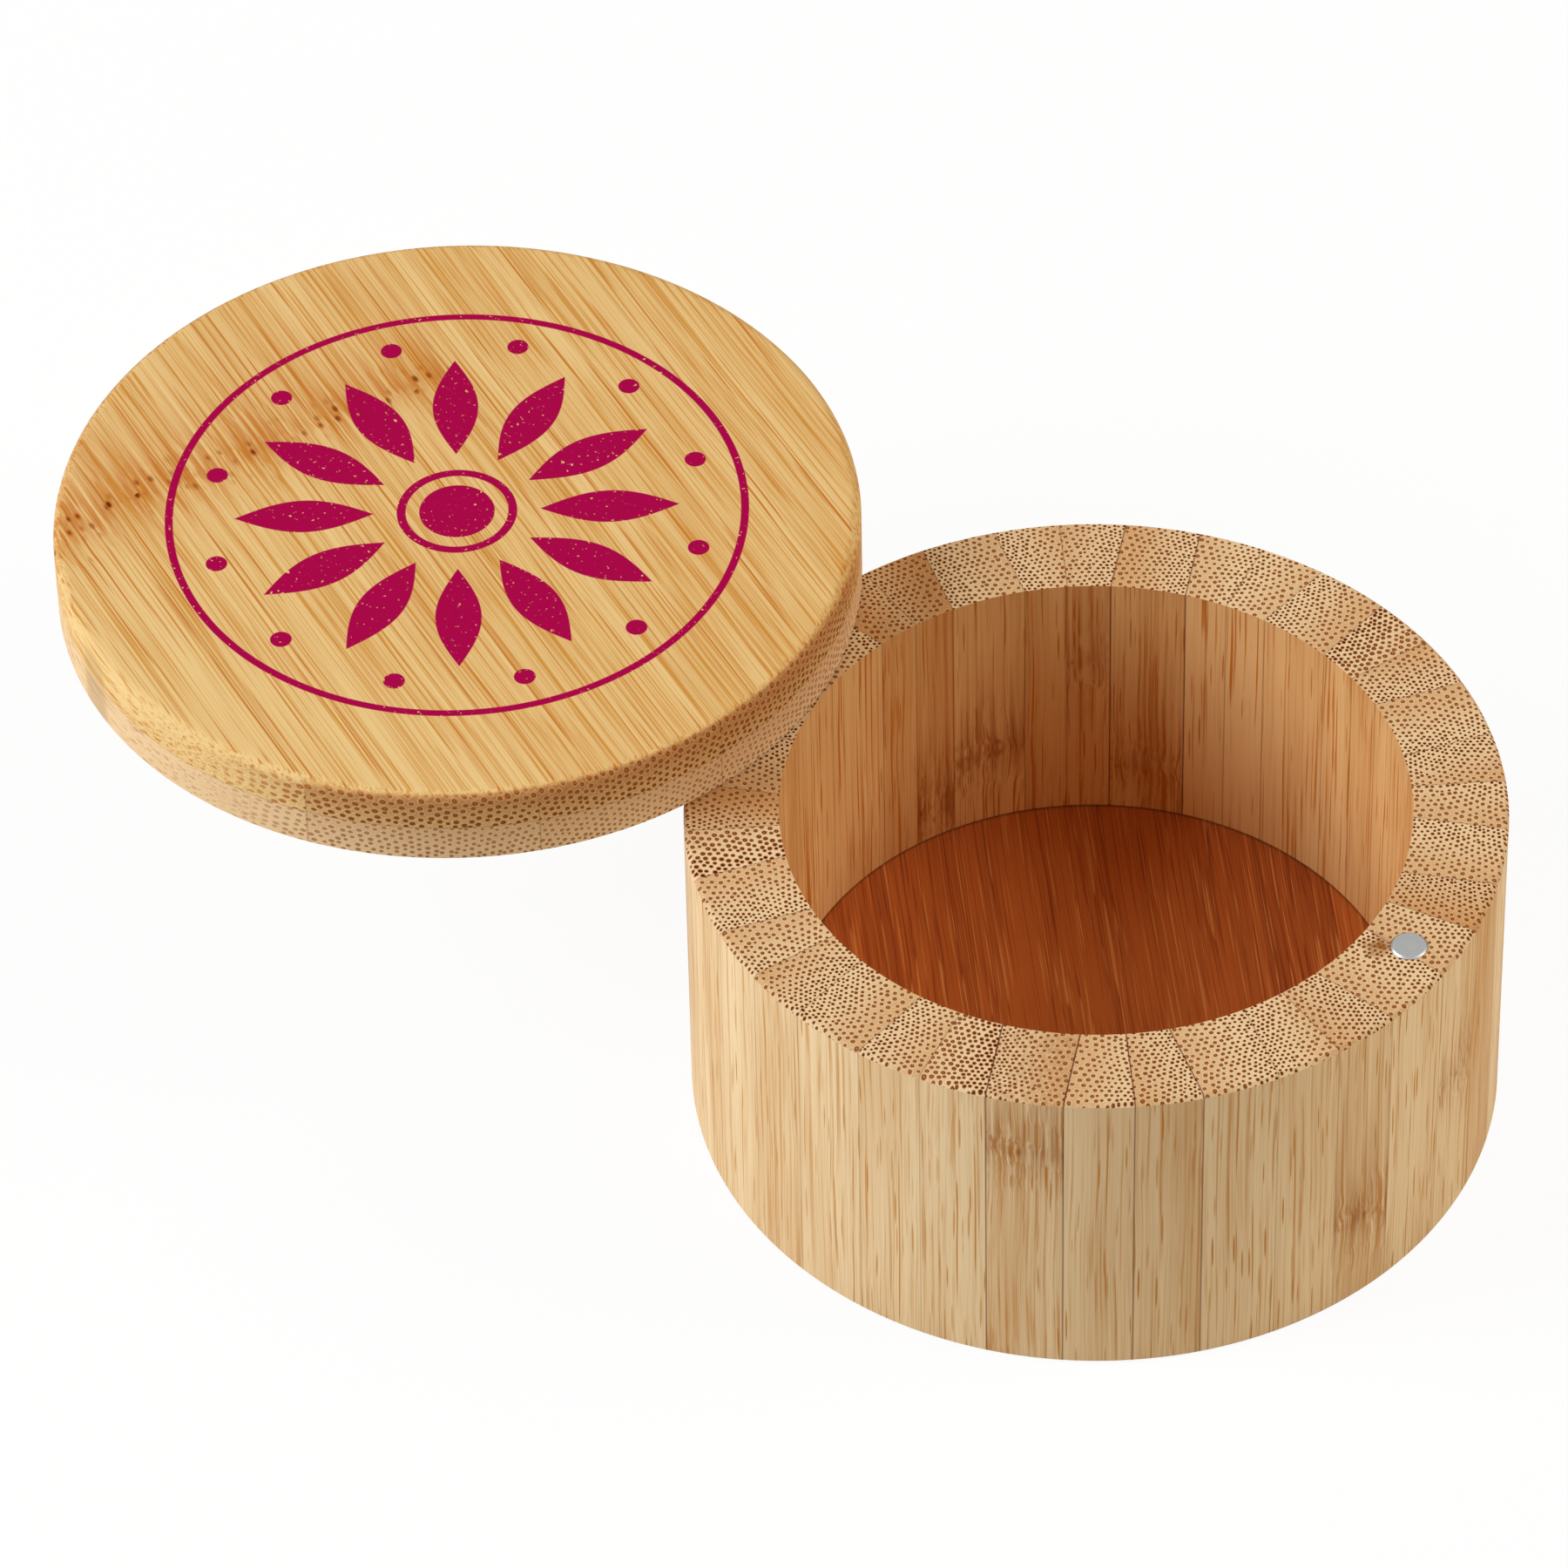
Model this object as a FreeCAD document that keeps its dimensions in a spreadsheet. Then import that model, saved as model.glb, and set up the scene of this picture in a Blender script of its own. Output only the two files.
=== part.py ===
import FreeCAD
import Part
import Sketcher
import math
import os

# Round bamboo keeper with a swivel lid.
# The wall is a ring of wedge staves, each glued up from three strips of bamboo,
# turned round inside and out. A disc of darker strips closes the bottom.
# The lid is two plies of strips and turns about a steel pin in the wall.
# Frame: origin at the middle of the underside, +Z up, pin and open lid towards -X.

# Driving dimensions, in millimetres and degrees.
dimensions = {
    "box_diameter": 90.0,
    "box_height": 40.7,
    "wall": 10.4,             # thickness of the turned wall
    "stave_count": 12,
    "core_width": 8.5,        # middle strip of a stave, with parallel sides
    "seam_turn": 2.2,         # angle of the first joint between two staves
    "rim_break": 0.4,         # sanded outer edge of the rim
    "foot_break": 0.3,        # sanded outer edge at the bottom
    "floor_height": 6.2,      # shoulder in the wall that the base sits against
    "rebate": 2.6,            # how far the base reaches under the wall
    "base_strip_count": 9,
    "base_grain_turn": 123.5,  # direction of the base strips
    "base_clearance": 0.1,    # between the base's rim and the wall
    "glue_line": 0.12,        # between the base and its shoulder
    "lid_inset": 0.1,         # how far the shut lid stays inside the wall all round
    "under_ply": 4.6,
    "top_ply": 4.8,
    "lid_round": 1.3,         # rounded upper edge of the lid
    "lid_gap": 0.4,           # between the rim and the lid
    "lid_grain_turn": 146.4,   # direction of the lid strips at rest
    "pin_diameter": 5.0,
    "pin_seat": 14.0,         # depth of the pin in the wall
    "pin_hold": 6.4,          # depth of the pin in the lid
    "pin_chamfer": 0.5,       # lead-in at the pin's lower end
    "pin_clearance": 0.05,    # running clearance of the pin, on the radius
    "magnet_diameter": 4.0,
    "magnet_thickness": 3.0,
    "magnet_break": 0.2,
    "magnet_turn": -5.3,      # angle of the magnet in the rim
    "magnet_proud": 0.2,      # how far the rim magnet stands up
    "magnet_recess": 0.1,     # how far the lid magnet is sunk
    "glue_gap": 0.05,         # round a part that is glued into a hole
    "overrun": 2.0,           # extra length of every cutter
}

doc = FreeCAD.newDocument("keeper")
sheet = doc.addObject("Spreadsheet::Sheet", "Sizes")
for row, (name, value) in enumerate(dimensions.items(), start=1):
    sheet.set(f"A{row}", name)
    sheet.set(f"B{row}", str(value))
    sheet.setAlias(f"B{row}", name)
doc.recompute()

# Sizes that follow from the driving dimensions, as expressions.
box_radius = "(Sizes.box_diameter / 2)"
well_radius = f"({box_radius} - Sizes.wall)"
rebate_radius = f"({well_radius} + Sizes.rebate)"
stave_angle = "(360 / Sizes.stave_count)"
half_core = "(Sizes.core_width / 2)"
pivot_radius = f"({box_radius} - Sizes.wall / 2)"
base_radius = f"({rebate_radius} - Sizes.base_clearance)"
base_thickness = "(Sizes.floor_height - Sizes.glue_line)"
lid_radius = f"({box_radius} - Sizes.lid_inset)"
lid_thickness = "(Sizes.under_ply + Sizes.top_ply)"
lid_bottom = "(Sizes.box_height + Sizes.lid_gap)"
lid_centre = f"(-2 * {pivot_radius})"
magnet_x = f"({pivot_radius} * cos(Sizes.magnet_turn))"
magnet_y = f"({pivot_radius} * sin(Sizes.magnet_turn))"
magnet_depth = "(Sizes.magnet_thickness - Sizes.magnet_proud)"
beyond_wall = f"({box_radius} + Sizes.overrun)"

# Joints between the lid's strips, as shares of its radius, from its low side to its high side.
lid_seam_shares = [-0.70, -0.22, 0.27, 0.75]


def measure(expression):
    """The present value of an expression."""
    return float(sheet.evalExpression(expression))


def origin_plane(body, role):
    """A body's own origin plane, found by its role."""
    return [item for item in body.Origin.OriginFeatures if item.Role == role][0]


def new_body(label):
    """An empty body with its own label."""
    body = doc.addObject("PartDesign::Body", label)
    body.Label = label
    return body


def new_sketch(body, role, name):
    """A sketch on one of the body's origin planes."""
    sketch = body.newObject("Sketcher::SketchObject", name)
    sketch.AttachmentSupport = [(origin_plane(body, role), "")]
    sketch.MapMode = "FlatFace"
    return sketch


def hold(sketch, curve, point, direction, expression):
    """Tie one coordinate of a sketch point to an expression."""
    kind, axis = {"x": ("DistanceX", -2), "y": ("DistanceY", -1)}[direction]
    if expression == "0":
        sketch.addConstraint(Sketcher.Constraint("PointOnObject", curve, point, axis))
        return
    distance = Sketcher.Constraint(kind, -1, 1, curve, point, measure(expression))
    index = sketch.addConstraint(distance)
    sketch.setExpression(f"Constraints[{index}]", expression)


def draw_outline(sketch, corners):
    """A closed outline, drawn anticlockwise through corners given as expressions.

    A corner is (x, y), reached by a straight side, or (x, y, centre x, centre y),
    reached by a round about that centre.
    """
    spots = [tuple(measure(part) for part in corner) for corner in corners]
    curves = []
    for number, spot in enumerate(spots):
        start = FreeCAD.Vector(*spots[number - 1][:2])
        end = FreeCAD.Vector(*spot[:2])
        if len(spot) == 2:
            curves.append(sketch.addGeometry(Part.LineSegment(start, end), False))
            continue
        centre = FreeCAD.Vector(*spot[2:])
        circle = Part.Circle(centre, FreeCAD.Vector(0, 0, 1), (start - centre).Length)
        first = math.atan2(start.y - centre.y, start.x - centre.x)
        last = math.atan2(end.y - centre.y, end.x - centre.x)
        curves.append(sketch.addGeometry(Part.ArcOfCircle(circle, first, last), False))
    for number, corner in enumerate(corners):
        curve = curves[number]
        following = curves[(number + 1) % len(curves)]
        sketch.addConstraint(Sketcher.Constraint("Coincident", curve, 2, following, 1))
        hold(sketch, curve, 2, "x", corner[0])
        hold(sketch, curve, 2, "y", corner[1])
        if len(corner) == 4:
            hold(sketch, curve, 3, "x", corner[2])


def turn_profile(body, corners, angle=None):
    """Turn a profile about the body's Z axis, all round or through an angle."""
    sketch = new_sketch(body, "XZ_Plane", "profile")
    draw_outline(sketch, corners)
    turned = body.newObject("PartDesign::Revolution", "turned")
    turned.Profile = sketch
    turned.ReferenceAxis = (sketch, ["V_Axis"])
    if angle:
        turned.Midplane = True
        turned.setExpression("Angle", angle)
    sketch.Visibility = False
    return turned


def rectangle(low_x, low_y, high_x, high_y):
    """The corners of an upright rectangle, anticlockwise."""
    return [(low_x, low_y), (high_x, low_y), (high_x, high_y), (low_x, high_y)]


def trim(body, rectangles):
    """Cut rectangles, seen from above, right through a body."""
    sketch = new_sketch(body, "XY_Plane", "waste")
    for corners in rectangles:
        draw_outline(sketch, corners)
    cut = body.newObject("PartDesign::Pocket", "trimmed")
    cut.Profile = sketch
    cut.Type = "ThroughAll"
    cut.Midplane = True
    sketch.Visibility = False
    return cut


def place(item, x="0", y="0", z="0", turn=None):
    """Bind an object's place and its turn about Z."""
    item.setExpression("Placement.Base.x", x)
    item.setExpression("Placement.Base.y", y)
    item.setExpression("Placement.Base.z", z)
    if turn:
        item.setExpression("Placement.Rotation.Angle", turn)


def drill(label, radius, depth, x, y, z):
    """A round cutter, standing on its lower end."""
    cutter = doc.addObject("Part::Cylinder", label)
    cutter.Label = label
    cutter.setExpression("Radius", radius)
    cutter.setExpression("Height", depth)
    place(cutter, x, y, z)
    return cutter


# Wall strips

# Section of the wall, from the rebate round the outside to the rim and the well.
wall_section = [
    (rebate_radius, "0"),
    (f"{box_radius} - Sizes.foot_break", "0"),
    (box_radius, "Sizes.foot_break"),
    (box_radius, "Sizes.box_height - Sizes.rim_break"),
    (f"{box_radius} - Sizes.rim_break", "Sizes.box_height"),
    (well_radius, "Sizes.box_height"),
    (well_radius, "Sizes.floor_height"),
    (rebate_radius, "Sizes.floor_height"),
]

# What is cut from a whole stave to leave each of its strips.
left_waste = rectangle("0", f"-{beyond_wall}", beyond_wall, half_core)
right_waste = rectangle("0", f"-{half_core}", beyond_wall, beyond_wall)
core_waste = [
    rectangle("0", half_core, beyond_wall, beyond_wall),
    rectangle("0", f"-{beyond_wall}", beyond_wall, f"-{half_core}"),
]
strip_wastes = {"right": [right_waste], "core": core_waste, "left": [left_waste]}


def wall_strip(stave, side):
    """One strip of a stave, in its place in the ring."""
    body = new_body(f"stave_{stave + 1:02d}_{side}")
    turn_profile(body, wall_section, stave_angle)
    trim(body, strip_wastes[side])
    place(body, turn=f"Sizes.seam_turn + ({stave} + 0.5) * {stave_angle}")
    return body


wall_strips = []
for stave in range(int(measure("Sizes.stave_count"))):
    for side in strip_wastes:
        wall_strips.append(wall_strip(stave, side))


# Glued discs

def disc_strips(name, section, radius, thickness, seams):
    """The strips of a turned disc between its joints, along X before they are placed."""
    disc = new_body(f"{name}_disc")
    turn_profile(disc, section)
    edges = [f"-({radius} + Sizes.overrun)"] + seams + [f"{radius} + Sizes.overrun"]
    strips = []
    for number, (low, high) in enumerate(zip(edges, edges[1:]), start=1):
        stock = doc.addObject("Part::Box", f"{name}_stock_{number}")
        stock.setExpression("Length", f"2 * ({radius} + Sizes.overrun)")
        stock.setExpression("Width", f"({high}) - ({low})")
        stock.setExpression("Height", f"{thickness} + 2 * Sizes.overrun")
        place(stock, f"-({radius} + Sizes.overrun)", low, "-Sizes.overrun")
        strip = doc.addObject("Part::Common", f"{name}_strip_{number}")
        strip.Label = f"{name}_strip_{number}"
        strip.Base = disc
        strip.Tool = stock
        strips.append(strip)
    return strips


base_section = rectangle("0", "0", base_radius, base_thickness)
base_seams = [f"{base_radius} * (2 * {number} / Sizes.base_strip_count - 1)"
              for number in range(1, int(measure("Sizes.base_strip_count")))]
base_strips = disc_strips("base", base_section, base_radius, base_thickness, base_seams)
for strip in base_strips:
    place(strip, turn="Sizes.base_grain_turn")

under_section = rectangle("0", "0", lid_radius, "Sizes.under_ply")
top_section = [
    ("0", "Sizes.under_ply"),
    (lid_radius, "Sizes.under_ply"),
    (lid_radius, f"{lid_thickness} - Sizes.lid_round"),
    (f"{lid_radius} - Sizes.lid_round", lid_thickness,
     f"{lid_radius} - Sizes.lid_round", f"{lid_thickness} - Sizes.lid_round"),
    ("0", lid_thickness),
]
lid_seams = [f"{share} * {lid_radius}" for share in lid_seam_shares]
lid_strips = []
for name, section in {"lid_under": under_section, "lid_top": top_section}.items():
    lid_strips += disc_strips(name, section, lid_radius, lid_thickness, lid_seams)
for strip in lid_strips:
    place(strip, x=lid_centre, z=lid_bottom, turn="Sizes.lid_grain_turn")


# Pin and magnets

pin_radius = "(Sizes.pin_diameter / 2)"
pin_length = "(Sizes.pin_seat + Sizes.lid_gap + Sizes.pin_hold)"
pin_end = f"({pin_radius} - Sizes.pin_chamfer)"
pin = new_body("pivot_pin")
turn_profile(pin, [
    ("0", "0"),
    (pin_end, "0"),
    (pin_radius, "Sizes.pin_chamfer"),
    (pin_radius, pin_length),
    ("0", pin_length),
])
place(pin, x=f"-{pivot_radius}", z="Sizes.box_height - Sizes.pin_seat")

magnet_radius = "(Sizes.magnet_diameter / 2)"
magnet_face = f"({magnet_radius} - Sizes.magnet_break)"
magnet_edge = "(Sizes.magnet_thickness - Sizes.magnet_break)"


def magnet(label, x, y, z):
    """A disc magnet with broken edges."""
    body = new_body(label)
    turn_profile(body, [
        ("0", "0"),
        (magnet_face, "0"),
        (magnet_radius, "Sizes.magnet_break"),
        (magnet_radius, magnet_edge),
        (magnet_face, "Sizes.magnet_thickness"),
        ("0", "Sizes.magnet_thickness"),
    ])
    place(body, x, y, z)
    return body


# The lid's magnet comes to lie over the rim's after half a turn about the pin.
rim_magnet = magnet("rim_magnet", magnet_x, magnet_y, f"Sizes.box_height - {magnet_depth}")
lid_magnet = magnet("lid_magnet", f"{lid_centre} - {magnet_x}", f"-{magnet_y}",
                    f"{lid_bottom} + Sizes.magnet_recess")


# Holes, drilled through whichever strips they meet

pin_bore = drill("pin_bore", f"{pin_radius} + Sizes.pin_clearance", "Sizes.pin_seat + Sizes.overrun",
                 f"-{pivot_radius}", "0", "Sizes.box_height - Sizes.pin_seat")
rim_pocket = drill("rim_pocket", f"{magnet_radius} + Sizes.glue_gap", f"{magnet_depth} + Sizes.overrun",
                   magnet_x, magnet_y, f"Sizes.box_height - {magnet_depth}")
pin_hole = drill("pin_hole", f"{pin_radius} + Sizes.glue_gap", "Sizes.pin_hold + Sizes.overrun",
                 f"-{pivot_radius}", "0", f"{lid_bottom} - Sizes.overrun")
lid_pocket = drill("lid_pocket", f"{magnet_radius} + Sizes.glue_gap",
                   "Sizes.magnet_thickness + Sizes.magnet_recess + Sizes.overrun",
                   f"{lid_centre} - {magnet_x}", f"-{magnet_y}", f"{lid_bottom} - Sizes.overrun")
doc.recompute()


def drilled(strip, cutters):
    """The strip after the cutters that meet it, or the strip itself where none does."""
    for cutter in cutters:
        if strip.Shape.common(cutter.Shape).Volume == 0:
            continue
        label = strip.Label
        strip.Label = f"{label}_before_{cutter.Label}"
        bored = doc.addObject("Part::Cut", label)
        bored.Label = label
        bored.Base = strip
        bored.Tool = cutter
        doc.recompute()
        strip = bored
    return strip


pieces = [drilled(strip, [pin_bore, rim_pocket]) for strip in wall_strips]
pieces += base_strips
pieces += [rim_magnet]
pieces += [drilled(strip, [pin_hole, lid_pocket]) for strip in lid_strips]
pieces += [lid_magnet, pin]
doc.recompute()


# Checks, then one file for each piece

for item in doc.Objects:
    if "Invalid" in item.State or "Error" in item.State:
        raise RuntimeError(f"{item.Label} failed: {item.State}")
for body in wall_strips:
    whole = [item for item in body.Group if item.TypeId == "PartDesign::Revolution"][0]
    if body.Shape.Volume >= whole.Shape.Volume:
        raise RuntimeError(f"{body.Label} was not trimmed")
for piece in pieces:
    if piece.Shape.isNull() or not piece.Shape.isValid():
        raise RuntimeError(f"{piece.Label} has no valid shape")
    if len(piece.Shape.Solids) != 1:
        raise RuntimeError(f"{piece.Label} is not one solid")

os.makedirs("parts", exist_ok=True)
for piece in pieces:
    piece.Shape.exportStep(f"parts/{piece.Label}.step")
print(len(pieces), "pieces written")
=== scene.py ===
import math
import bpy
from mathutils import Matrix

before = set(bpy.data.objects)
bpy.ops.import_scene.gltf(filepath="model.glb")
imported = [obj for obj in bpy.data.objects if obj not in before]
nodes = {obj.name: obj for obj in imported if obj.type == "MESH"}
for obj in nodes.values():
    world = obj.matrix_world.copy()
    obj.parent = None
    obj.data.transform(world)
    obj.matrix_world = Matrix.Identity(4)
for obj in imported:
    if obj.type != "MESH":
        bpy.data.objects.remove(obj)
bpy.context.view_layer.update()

from types import SimpleNamespace

import bpy
import bmesh
from mathutils import Matrix, Vector

mm = 0.001
far = 100.0  # a seam this far off in mm never shows
up = Vector((0, 0, 1))


# Node helpers

def colour(red, green, blue):
    # screen values 0 to 255, made linear
    steps = [value / 255 for value in (red, green, blue)]
    return [s / 12.92 if s <= 0.04045 else ((s + 0.055) / 1.055) ** 2.4 for s in steps] + [1.0]


def feed(tree, socket, value):
    if isinstance(value, bpy.types.NodeSocket):
        tree.links.new(value, socket)
    else:
        socket.default_value = value


def calc(tree, operation, *values):
    node = tree.nodes.new("ShaderNodeMath")
    node.operation = operation
    for socket, value in zip(node.inputs, values):
        feed(tree, socket, value)
    return node.outputs[0]


def chained(tree, operation, first, *others):
    for other in others:
        first = calc(tree, operation, first, other)
    return first


def times(tree, *values):
    return chained(tree, "MULTIPLY", *values)


def largest(tree, *values):
    return chained(tree, "MAXIMUM", *values)


def smallest(tree, *values):
    return chained(tree, "MINIMUM", *values)


def minus(tree, first, second):
    return calc(tree, "SUBTRACT", first, second)


def scaled(tree, value, factor, shift):
    return calc(tree, "MULTIPLY_ADD", value, factor, shift)


def length(tree, x, y):
    return calc(tree, "SQRT", scaled(tree, x, x, times(tree, y, y)))


def fade(tree, value, low, high):
    # 0 at low, 1 at high, smooth between
    node = tree.nodes.new("ShaderNodeMapRange")
    node.interpolation_type = "SMOOTHSTEP"
    feed(tree, node.inputs["Value"], value)
    feed(tree, node.inputs["From Min"], low)
    feed(tree, node.inputs["From Max"], high)
    return node.outputs["Result"]


def mixed(tree, factor, first, second, blend="MIX"):
    node = tree.nodes.new("ShaderNodeMix")
    node.data_type = "RGBA"
    node.blend_type = blend
    for socket, value in zip((node.inputs[0], node.inputs[6], node.inputs[7]), (factor, first, second)):
        feed(tree, socket, value)
    return node.outputs[2]


def point(tree, x, y, z=0.0):
    node = tree.nodes.new("ShaderNodeCombineXYZ")
    for socket, value in zip(node.inputs, (x, y, z)):
        feed(tree, socket, value)
    return node.outputs[0]


def parts(tree, vector):
    node = tree.nodes.new("ShaderNodeSeparateXYZ")
    tree.links.new(vector, node.inputs[0])
    return node.outputs


def vectorNode(tree, operation, *vectors):
    node = tree.nodes.new("ShaderNodeVectorMath")
    node.operation = operation
    for socket, value in zip(node.inputs, vectors):
        feed(tree, socket, value)
    return node


def stretched(tree, vector, scale):
    node = vectorNode(tree, "SCALE", vector)
    node.inputs["Scale"].default_value = scale
    return node.outputs["Vector"]


def noise(tree, vector, detail):
    node = tree.nodes.new("ShaderNodeTexNoise")
    tree.links.new(vector, node.inputs["Vector"])
    node.inputs["Scale"].default_value = 1.0
    node.inputs["Detail"].default_value = detail
    return node.outputs["Fac"]


def cells(tree, vector, dimensions="3D", scatter=1.0):
    node = tree.nodes.new("ShaderNodeTexVoronoi")
    node.voronoi_dimensions = dimensions
    tree.links.new(vector, node.inputs["Vector"])
    node.inputs["Scale"].default_value = 1.0
    node.inputs["Randomness"].default_value = scatter
    return node.outputs


def source(tree, label):
    node = tree.nodes.get("Texture Coordinate") or tree.nodes.new("ShaderNodeTexCoord")
    return node.outputs[label]


def placeInMm(tree, centre=(0, 0, 0), turn=Matrix.Identity(3)):
    # Object coordinates in mm from a centre, along the rows of turn
    node = tree.nodes.new("ShaderNodeMapping")
    node.inputs["Scale"].default_value = (1 / mm,) * 3
    node.inputs["Rotation"].default_value = turn.to_euler()
    node.inputs["Location"].default_value = -(turn @ Vector(centre))
    tree.links.new(source(tree, "Object"), node.inputs["Vector"])
    return node.outputs[0]


def newGroup(name, inputs, outputs):
    tree = bpy.data.node_groups.new(name, "ShaderNodeTree")
    kinds = {"vector": "NodeSocketVector", "value": "NodeSocketFloat", "colour": "NodeSocketColor"}
    for label, kind in inputs.items():
        tree.interface.new_socket(name=label, in_out="INPUT", socket_type=kinds[kind])
    for label, kind in outputs.items():
        tree.interface.new_socket(name=label, in_out="OUTPUT", socket_type=kinds[kind])
    return tree, tree.nodes.new("NodeGroupInput").outputs, tree.nodes.new("NodeGroupOutput").inputs


def newMaterial(name):
    material = bpy.data.materials.new(name)
    material.use_nodes = True
    return material, material.node_tree, material.node_tree.nodes["Principled BSDF"].inputs


def overpaint(tree, mask, tint):
    socket = tree.nodes["Principled BSDF"].inputs["Base Color"]
    tree.links.new(mixed(tree, mask, socket.links[0].from_socket, tint), socket)


def dress(node, material):
    mesh = nodes[node].data
    mesh.materials.clear()
    mesh.materials.append(material)


# Bamboo: fibre bundles that run along the grain, seen as dots at a cut end and as streaks on a face.
# Place is in mm: x along the grain, y across the strip, z through it towards its dense outer side.
# End is 1 where the grain is cut across, Inside is 1 on the well's face.

bambooNumbers = [
    "End", "Inside", "Seed", "Spacing", "Crowding", "Thickness", "Bundle Size", "Darkness", "Streaks",
    "Streak Share", "Dashes", "Dash Rate", "Lines", "Crisp", "Wander", "Node At", "Node Amount", "Node Swirl",
    "Flecks", "Glue", "Tone", "End Tone", "Seam Side", "Seam High", "Seam Low", "Cheek Shift", "Cheek Across",
    "Cheek Through",
]
bambooColours = ["Pale", "Warm", "End Warm", "Streak", "Fibre", "Stain"]

bamboo = {
    "seedStep": 13.7,
    # noise along the grain: rate along it and across it per mm, shift, detail
    "noises": {
        "ripple": (0.02, 0.35, 3.1, 2.0), "wave": (0.22, 0.12, 41.0, 1.0),
        "sideways": (0.035, 0.10, 7.7, 1.0), "inwards": (0.045, 0.11, 15.2, 1.0),
        "breaks": (0.05, 1.1, 27.0, 2.0), "crispBreaks": (0.07, 0.8, 53.0, 2.0),
        "slow": (0.022, 0.24, 1.3, 2.0), "lines": (0.022, 2.8, 5.5, 2.0), "hairs": (0.035, 6.5, 2.5, 1.0),
        "patches": (0.06, 1.9, 31.0, 3.0),
    },
    # smooth steps: the value that gives 0 and the value that gives 1
    "fades": {
        "crowd": (0.05, 1.0), "bundle": (1.12, 0.72), "heart": (0.52, 0.24), "skirt": (1.5, 0.9),
        "halo": (2.3, 1.2), "streak": (0.66, 0.28), "breaks": (0.38, 0.56), "picked": (-0.12, 0.12),
        "flake": (0.25, 0.15), "crisp": (0.57, 0.65), "crispBreaks": (0.40, 0.54), "lines": (0.48, 0.74),
        "hairs": (0.48, 0.70), "ridgeHighlight": (0.42, 0.32), "fleckPick": (0.35, 1.05), "fleckSkirt": (0.52, 0.26),
        "fleckCore": (0.34, 0.18),
        # where the painted corner shadow above the base fades out
        "corner": (6.42, 6.22),        # mm up, just above the base
        "end": (0.38, 0.74), "inside": (0.3, 0.8),   # share of the normal
    },
    # straight slopes: factor and shift
    "slopes": {
        "sizeByChance": (0.28, 0.76), "sizeByCrowd": (0.16, 1.0), "heartByCrowd": (-0.95, 0.95),
        "lobes": (0.03, 0.97), "shareByCrowd": (0.9, 0.35), "flakeByChance": (0.65, 0.35),
        "crispByInside": (1.1, 1.0), "capByCrowd": (0.30, 0.70), "patches": (3.6, -1.15),
        "seamWidth": (0.15, 0.07), "seamByInside": (0.35, 0.75), "satin": (0.16, 0.46),
    },
    # the cane's joint: its crookedness in mm, and how fast its marks fade away from it
    "ripple": 3.5, "nearFall": -0.20, "wideFall": -0.030, "swirlDrift": 1.2, "swirlWave": 1.8,
    # staggered rows from a square lattice: skew, stretch, and the way back
    "rowSkew": -0.5774, "rowStretch": 1.1547, "rowShift": 0.5, "rowPitch": 0.866, "scatter": 0.34,
    "lobes": 2.0, "lobeTurn": 1.6,
    "flakeRate": 1.8, "hairs": 0.75, "swirlLines": 1.1, "ridgeHighlight": -1.2, "ridgeHighlightByCrisp": 0.25,
    "faceShade": -0.40, "faceByCrowd": 0.12,
    "endShade": 0.22, "endByCrowd": -0.60, "endByHalo": -0.30,
    "grit": 0.8, "gritRate": 5.0, "gritDetail": 2.0,
    "rust": colour(172, 66, 8), "rustShare": 0.5, "skirt": 0.75,
    "stainUp": -0.12, "stainDown": 0.30, "stainMost": 0.8,
    "fleckAlong": 0.55, "fleckAcross": 1.05,
    # painted shade: the warm tint for the well's face, and how dark the painted corner shadow is
    "wellShadeTint": (0.95, 0.775, 0.56, 1.0), "corner": 0.35,
    "seamCore": 0.02, "seamByEnd": 0.25,
    "roughByEnd": 0.12, "pits": -0.7, "lineHeight": 0.30, "dashHeight": -0.25, "seamHeight": -0.8,
    "bumpStrength": 0.25, "bumpDepth": 0.06,         # mm
}


def stepped(tree, name, value):
    return fade(tree, value, *bamboo["fades"][name])


def sloped(tree, name, value):
    return scaled(tree, value, *bamboo["slopes"][name])


def grain(tree, strip, name, bent=False):
    # noise drawn out along the grain, straight or bent with the fibres
    alongRate, acrossRate, shift, detail = bamboo["noises"][name]
    across, through = (strip.side, strip.depth) if bent else (strip.across, strip.through)
    place = point(tree, scaled(tree, strip.along, alongRate, shift),
                  scaled(tree, across, acrossRate, strip.seed), scaled(tree, through, acrossRate, strip.seed))
    return noise(tree, place, detail)


def sway(tree, strip, name):
    # noise either side of nought
    return minus(tree, grain(tree, strip, name), 0.5)


def placeJoint(tree, strip):
    # a crooked line across the grain, with what is near it and what is widely round it
    offset = minus(tree, strip.along, strip.given["Node At"])
    strip.offNode = scaled(tree, sway(tree, strip, "ripple"), bamboo["ripple"], offset)
    squared = times(tree, strip.offNode, strip.offNode)
    strip.near, wide = [
        times(tree, calc(tree, "EXPONENT", times(tree, squared, bamboo[fall])), strip.given["Node Amount"])
        for fall in ("nearFall", "wideFall")]
    strip.swirl = times(tree, wide, strip.given["Node Swirl"])


def bendFibres(tree, strip):
    # slow wander of the fibres, wavy beside a joint
    drift = scaled(tree, strip.swirl, bamboo["swirlDrift"], strip.given["Wander"])
    wave = times(tree, sway(tree, strip, "wave"), strip.swirl, bamboo["swirlWave"])
    thickness = strip.given["Thickness"]
    strip.side = scaled(tree, sway(tree, strip, "sideways"), drift, calc(tree, "ADD", strip.across, wave))
    depth = scaled(tree, sway(tree, strip, "inwards"), drift, calc(tree, "ADD", strip.through, wave))
    strip.depth = scaled(tree, thickness, 0.5, depth)
    strip.crowd = stepped(tree, "crowd", calc(tree, "DIVIDE", strip.depth, thickness))


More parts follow.
